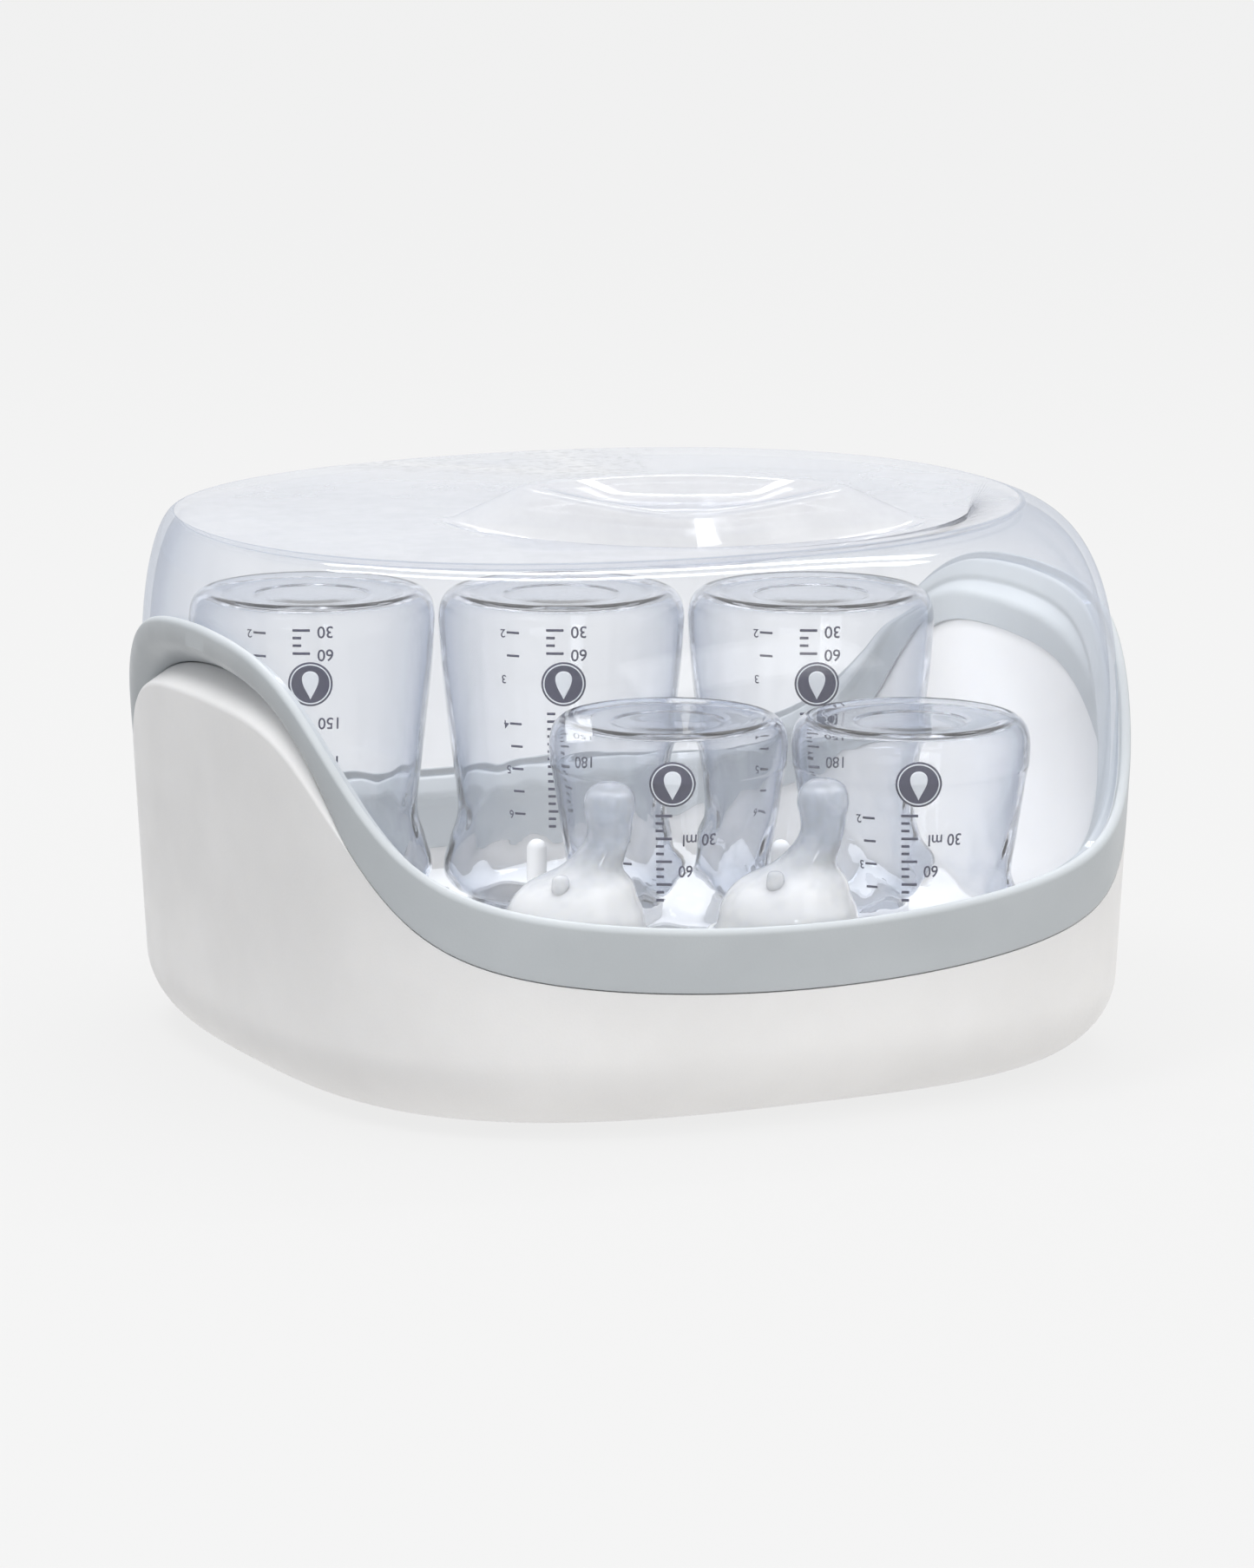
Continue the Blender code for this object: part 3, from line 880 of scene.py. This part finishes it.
def clear_sheet(name):
    """Clear lid: passes what is behind it; painted shade makes it darker and bluer where it is seen
    edge-on and in a dark line at the edge of the frosted, milky top; a mirror gloss that grows
    edge-on; and faint flow lines and scuffs. Light on its way to other pieces passes straight
    through."""
    made, tree, output = material(name)
    coords = add(tree, "TexCoord").outputs["Object"]
    wave = noise(tree, coords, 30, 1)
    bump = add(tree, "Bump", {"Strength": 0.05, "Distance": 0.0008, "Height": wave}).outputs[0]
    facing = add(tree, "LayerWeight", {"Blend": 0.5, "Normal": bump}).outputs["Facing"]
    # painted shade: the see-through colour turns darker and bluer where the sheet is seen edge-on
    edge_on_painted_shade = add(tree, "Math", {0: facing, 1: 4.5}, operation="POWER").outputs[0]
    frosted = add(tree, "Attribute", attribute_name="frosted").outputs["Fac"]
    clear_share = add(tree, "Math", {0: 1.0, 1: frosted}, operation="SUBTRACT").outputs[0]
    painted_line_mask = add(tree, "Math", {0: frosted, 1: clear_share}, operation="MULTIPLY").outputs[0]
    # painted shade: a dark line at the edge of the frosted top, added to the edge-on darkening
    line = add(tree, "Math", {0: painted_line_mask, 1: 2.2, 2: edge_on_painted_shade}, operation="MULTIPLY_ADD",
               use_clamp=True).outputs[0]
    clear_tint_with_painted_shade = tint(tree, line, (0.98, 0.985, 0.995), (0.42, 0.49, 0.62))
    clear = add(tree, "BsdfTransparent", {"Color": clear_tint_with_painted_shade}).outputs[0]
    scuffs = spread(tree, noise(tree, coords, 420, 6), 0.03, 0.10, 0.45, 0.7)
    shine = add(tree, "BsdfGlossy", {"Color": (1, 1, 1, 1), "Roughness": scuffs,
                                     "Normal": bump}).outputs[0]
    grazing = add(tree, "Math", {0: facing, 1: 5.0}, operation="POWER").outputs[0]
    mirror = spread(tree, grazing, 0.035, 0.75, 0, 1)
    milk = add(tree, "BsdfDiffuse", {"Color": (0.925, 0.922, 0.93, 1)}).outputs[0]
    glow = add(tree, "BsdfTranslucent", {"Color": (0.925, 0.922, 0.93, 1)}).outputs[0]
    haze = add(tree, "MixShader", {0: 0.5, 1: milk, 2: glow}).outputs[0]
    mottled = spread(tree, noise(tree, coords, 60, 4), 0.34, 0.40)
    veil = add(tree, "Math", {0: frosted, 1: mottled, 2: 0.025},
               operation="MULTIPLY_ADD").outputs[0]
    body = add(tree, "MixShader", {0: veil, 1: clear, 2: haze}).outputs[0]
    seen = add(tree, "MixShader", {0: mirror, 1: body, 2: shine}).outputs[0]
    passing = add(tree, "BsdfTransparent", {"Color": (0.98, 0.98, 0.985, 1)}).outputs[0]
    whole = add(tree, "MixShader", {0: lighting_ray(tree), 1: seen, 2: passing}).outputs[0]
    tree.links.new(whole, output.inputs[0])
    return made


def lighting_ray(tree):
    """1 on a ray that only carries light to another surface."""
    path = add(tree, "LightPath")
    rays = {0: path.outputs["Is Shadow Ray"], 1: path.outputs["Is Diffuse Ray"]}
    return add(tree, "Math", rays, operation="MAXIMUM").outputs[0]


def bottle_glass(name):
    """Bottle: refraction, with painted shade that makes its colour darker and cooler edge-on, a
    trace of smears and a glossy coat. Light on its way to other pieces passes straight through."""
    made, tree, output = material(name)
    coords = add(tree, "TexCoord").outputs["Object"]
    facing = add(tree, "LayerWeight", {"Blend": 0.5}).outputs["Facing"]
    # painted shade: the glass's colour turns darker and cooler where it is seen edge-on
    edge_on_painted_shade = add(tree, "Math", {0: facing, 1: 1.5}, operation="POWER").outputs[0]
    colour = tint(tree, edge_on_painted_shade, (0.985, 0.989, 0.996), (0.38, 0.44, 0.56))
    smear = spread(tree, noise(tree, coords, 150, 4), 0.0, 0.03, 0.5, 0.75)
    glass = add(tree, "BsdfPrincipled", {
        "Base Color": colour, "Roughness": smear, "IOR": 1.12, "Transmission Weight": 1.0,
        "Specular IOR Level": 1.0, "Coat Weight": 0.6, "Coat Roughness": 0.03, "Coat IOR": 1.4,
    }).outputs[0]
    passing = add(tree, "BsdfTransparent", {"Color": (0.975, 0.98, 0.99, 1)}).outputs[0]
    whole = add(tree, "MixShader", {0: lighting_ray(tree), 1: glass, 2: passing}).outputs[0]
    tree.links.new(whole, output.inputs[0])
    return made


def silicone(name, foot, tip):
    """Teat: milky and warm in the thick skirt, cooler and clearer in the thin nipple, with a
    glossy skin. Painted shade darkens the nipple's rim where it is seen edge-on."""
    made, tree, output = material(name)
    coords = add(tree, "TexCoord").outputs["Object"]
    height = add(tree, "SeparateXYZ", {0: coords}).outputs[2]
    up = spread(tree, height, 0, 1, foot + 0.016, foot + 0.030)
    cloud = spread(tree, noise(tree, coords, 120, 3), -0.12, 0.12)
    share = add(tree, "Math", {0: up, 1: cloud}, operation="ADD", use_clamp=True).outputs[0]
    colour = tint(tree, share, (0.88, 0.88, 0.86), (0.82, 0.86, 0.92))
    # painted shade: the nipple's rim turns dark blue-grey where it is seen edge-on
    facing = add(tree, "LayerWeight", {"Blend": 0.5}).outputs["Facing"]
    edge_on_painted_shade = add(tree, "Math", {0: facing, 1: 2.8}, operation="POWER").outputs[0]
    rim = add(tree, "Math", {0: edge_on_painted_shade, 1: share}, operation="MULTIPLY").outputs[0]
    colour_with_painted_rim_shade = add(tree, "Mix", {"Factor": rim}, data_type="RGBA")
    tree.links.new(colour, colour_with_painted_rim_shade.inputs[6])
    colour_with_painted_rim_shade.inputs[7].default_value = (0.26, 0.31, 0.39, 1)
    clarity = spread(tree, share, 0.10, 0.75, 0.0, 1.0)
    bloom = noise(tree, coords, 900, 2)
    bump = add(tree, "Bump", {"Strength": 0.08, "Distance": 0.0004, "Height": bloom}).outputs[0]
    gloss = spread(tree, noise(tree, coords, 200, 3), 0.05, 0.11)
    shader = add(tree, "BsdfPrincipled", {
        "Base Color": colour_with_painted_rim_shade.outputs[2], "Roughness": gloss, "IOR": 1.41,
        "Transmission Weight": clarity,
        "Normal": bump, "Subsurface Weight": 0.5, "Subsurface Scale": 0.006,
        "Coat Weight": 0.7, "Coat Roughness": 0.04,
        "Subsurface Radius": (1.0, 0.95, 0.8),
    })
    tree.links.new(shader.outputs[0], output.inputs[0])
    return made


def ink(name, shade, bright):
    """Screen-printed ink: slightly uneven cover and a low sheen."""
    made, tree, output = material(name)
    coords = add(tree, "TexCoord").outputs["Object"]
    cover = spread(tree, noise(tree, coords, 1400, 3), 0.0, 1.0)
    gloss = spread(tree, noise(tree, coords, 500, 2), 0.35, 0.5)
    shader = add(tree, "BsdfPrincipled", {
        "Base Color": tint(tree, cover, shade, bright), "Roughness": gloss,
    })
    tree.links.new(shader.outputs[0], output.inputs[0])
    return made


# ==== stage, light and camera ====

def make_stage():
    """Plain pale floor. It looks the same all over but for a trace of shadow. The light it
    throws on the object comes mostly from close by."""
    made, tree, output = material("pale_floor")
    shadow = add(tree, "BsdfDiffuse", {"Color": (0.80, 0.80, 0.80, 1)}).outputs[0]
    glow = add(tree, "Emission", {"Color": (0.857, 0.857, 0.855, 1)}).outputs[0]
    shown = add(tree, "MixShader", {0: 0.90, 1: shadow, 2: glow}).outputs[0]
    place = add(tree, "TexCoord").outputs["Object"]
    reach = add(tree, "VectorMath", {0: place}, operation="LENGTH").outputs["Value"]
    far = spread(tree, reach, 0.0, 1.0, 0.16, 0.40)
    thrown = tint(tree, far, (0.76, 0.75, 0.74), (0.32, 0.32, 0.32))
    dim = add(tree, "Emission", {"Color": thrown}).outputs[0]
    spreading = add(tree, "LightPath").outputs["Is Diffuse Ray"]
    whole = add(tree, "MixShader", {0: spreading, 1: shown, 2: dim}).outputs[0]
    tree.links.new(whole, output.inputs[0])
    turn = np.linspace(0, 2 * math.pi, 96, endpoint=False)
    edge = np.column_stack((12 * np.cos(turn), 12 * np.sin(turn), np.full(96, -0.0004)))
    mesh = bpy.data.meshes.new("floor")
    mesh.from_pydata(edge.tolist(), [], [list(range(96))])
    mesh.materials.append(made)
    floor = bpy.data.objects.new("floor", mesh)
    bpy.context.scene.collection.objects.link(floor)
    floor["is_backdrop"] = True


def make_world():
    """Studio round the object. It is plain pale to the camera. Its light is strong overhead,
    bright at the right and dim at the left, and reflections see a paler room."""
    world = bpy.data.worlds.new("studio")
    bpy.context.scene.world = world
    world.use_nodes = True
    tree = world.node_tree
    tree.nodes.clear()
    output = tree.nodes.new("ShaderNodeOutputWorld")
    direction = add(tree, "TexCoord").outputs["Generated"]
    parts = add(tree, "SeparateXYZ", {0: direction})
    side = spread(tree, parts.outputs[0], 0, 1, -0.75, 0.30)
    around = tint(tree, side, (0.0, 0.01, 0.03), (0.96, 0.945, 0.93))
    up = spread(tree, parts.outputs[2], 0, 1, 0.45, 0.95)
    sky = add(tree, "Mix", {"Factor": up}, data_type="RGBA")
    tree.links.new(around, sky.inputs[6])
    sky.inputs[7].default_value = (2.1, 2.11, 2.13, 1)
    studio = add(tree, "Background", {"Color": sky.outputs[2]}).outputs[0]
    room_side = tint(tree, side, (0.74, 0.77, 0.83), (0.98, 0.98, 0.98))
    room = add(tree, "Background", {"Color": room_side}).outputs[0]
    plain = add(tree, "Background", {"Color": (0.905, 0.905, 0.903, 1)}).outputs[0]
    path = add(tree, "LightPath")
    lit = add(tree, "MixShader", {0: path.outputs["Is Diffuse Ray"], 1: room, 2: studio})
    seen = add(tree, "MixShader", {0: path.outputs["Is Camera Ray"], 1: lit.outputs[0], 2: plain})
    tree.links.new(seen.outputs[0], output.inputs[0])


def lamp(name, turn, rise, distance, width, height, power, colour=(1, 1, 1)):
    """A soft box that looks at the object: turn and rise are degrees as for a view."""
    data = bpy.data.lights.new(name, "AREA")
    data.shape = "RECTANGLE"
    data.size = width
    data.size_y = height
    data.energy = power
    data.color = colour
    made = bpy.data.objects.new(name, data)
    a, e = math.radians(turn), math.radians(rise)
    back = Vector((math.sin(a) * math.cos(e), -math.cos(a) * math.cos(e), math.sin(e)))
    made.location = Vector(view_aim) + back * distance
    made.rotation_mode = "QUATERNION"
    made.rotation_quaternion = back.to_track_quat("Z", "Y")
    bpy.context.scene.collection.objects.link(made)
    return made


def inner_lamp():
    """A small lamp under the lid. It stands in for the light that the frosted top spreads
    inside, towards the right."""
    made = lamp("inner_glow", 135, 59, 0.0825, 0.05, 0.03, 0.030)
    made.visible_glossy = False
    made.visible_camera = False
    made.visible_transmission = False
    made.data.spread = math.radians(90)
    towards_right = Vector((0.70, -0.27, -0.66))
    made.rotation_quaternion = (-towards_right).to_track_quat("Z", "Y")


def make_lights():
    """Key from the front right, a strip over the back for the lid's gloss, a small window, and
    three that glossy skins do not show: one high at the left, a low fill, one under the lid."""
    lamp("key", 20, 38, 1.6, 0.7, 0.5, 1.3)
    lamp("high_left", -82, 66, 1.6, 0.5, 0.5, 7.0).visible_glossy = False
    lamp("fill", -46, 8, 1.8, 0.7, 0.7, 5.2).visible_glossy = False
    inner_lamp()
    lamp("back_strip", 150, 48, 1.5, 0.9, 0.12, 4.0)
    lamp("window", -12, 18, 1.7, 0.22, 0.30, 1.4, (0.96, 0.98, 1.0))


def make_camera():
    """Camera at the object's front left, a little above it."""
    data = bpy.data.cameras.new("camera")
    data.lens = view_lens
    data.sensor_width = 36
    made = bpy.data.objects.new("camera", data)
    back = Vector((
        math.sin(view_turn) * math.cos(view_rise),
        -math.cos(view_turn) * math.cos(view_rise),
        math.sin(view_rise),
    ))
    made.location = Vector(view_aim) + back * view_distance
    made.rotation_mode = "QUATERNION"
    made.rotation_quaternion = back.to_track_quat("Z", "Y")
    bpy.context.scene.collection.objects.link(made)
    bpy.context.scene.camera = made


# ==== the object ====

make_camera()
make_stage()
make_world()
make_lights()
bpy.context.scene.view_settings.view_transform = "Standard"

white = moulded("white_moulding", (0.81, 0.805, 0.80), (0.86, 0.855, 0.85), 0.34, 900, 0.00012)
rack_white = moulded("rack_moulding", (0.84, 0.85, 0.85), (0.90, 0.90, 0.90), 0.42, 700, 0.0001)
grey = moulded("grey_moulding", (0.48, 0.51, 0.53), (0.52, 0.55, 0.57), 0.38, 1100, 0.00012)
make_bowl(white)
make_band(grey)
make_rack(rack_white)
make_lid(clear_sheet("lid_clear"))

glass = bottle_glass("bottle_clear")
dark_ink = ink("scale_ink", (0.020, 0.020, 0.060), (0.035, 0.035, 0.080))
pale_ink = ink("badge_ink", (0.80, 0.84, 0.88), (0.88, 0.91, 0.94))
back_marks = (0.0070, 0.0140, 0.0210, 0.0280, 0.0350, 0.0420, 0.0490, 0.0560, 0.0630)
back_labels = (("30", 0.0070), ("60", 0.0140), ("150", 0.0350), ("180", 0.0470))
for node in backs:
    make_bottle(node, glass, dark_ink, pale_ink, back_marks, back_labels, 0.0230)
front_marks = (0.0240, 0.0310, 0.0380, 0.0450)
front_labels = (("30 ml", 0.0310), ("60", 0.0405))
for node in fronts:
    make_bottle(node, glass, dark_ink, pale_ink, front_marks, front_labels, 0.0141)

for node in teats:
    low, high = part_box(node)
    make_teat(node, silicone(node + "_skin", low.z, high.z))

low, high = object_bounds()
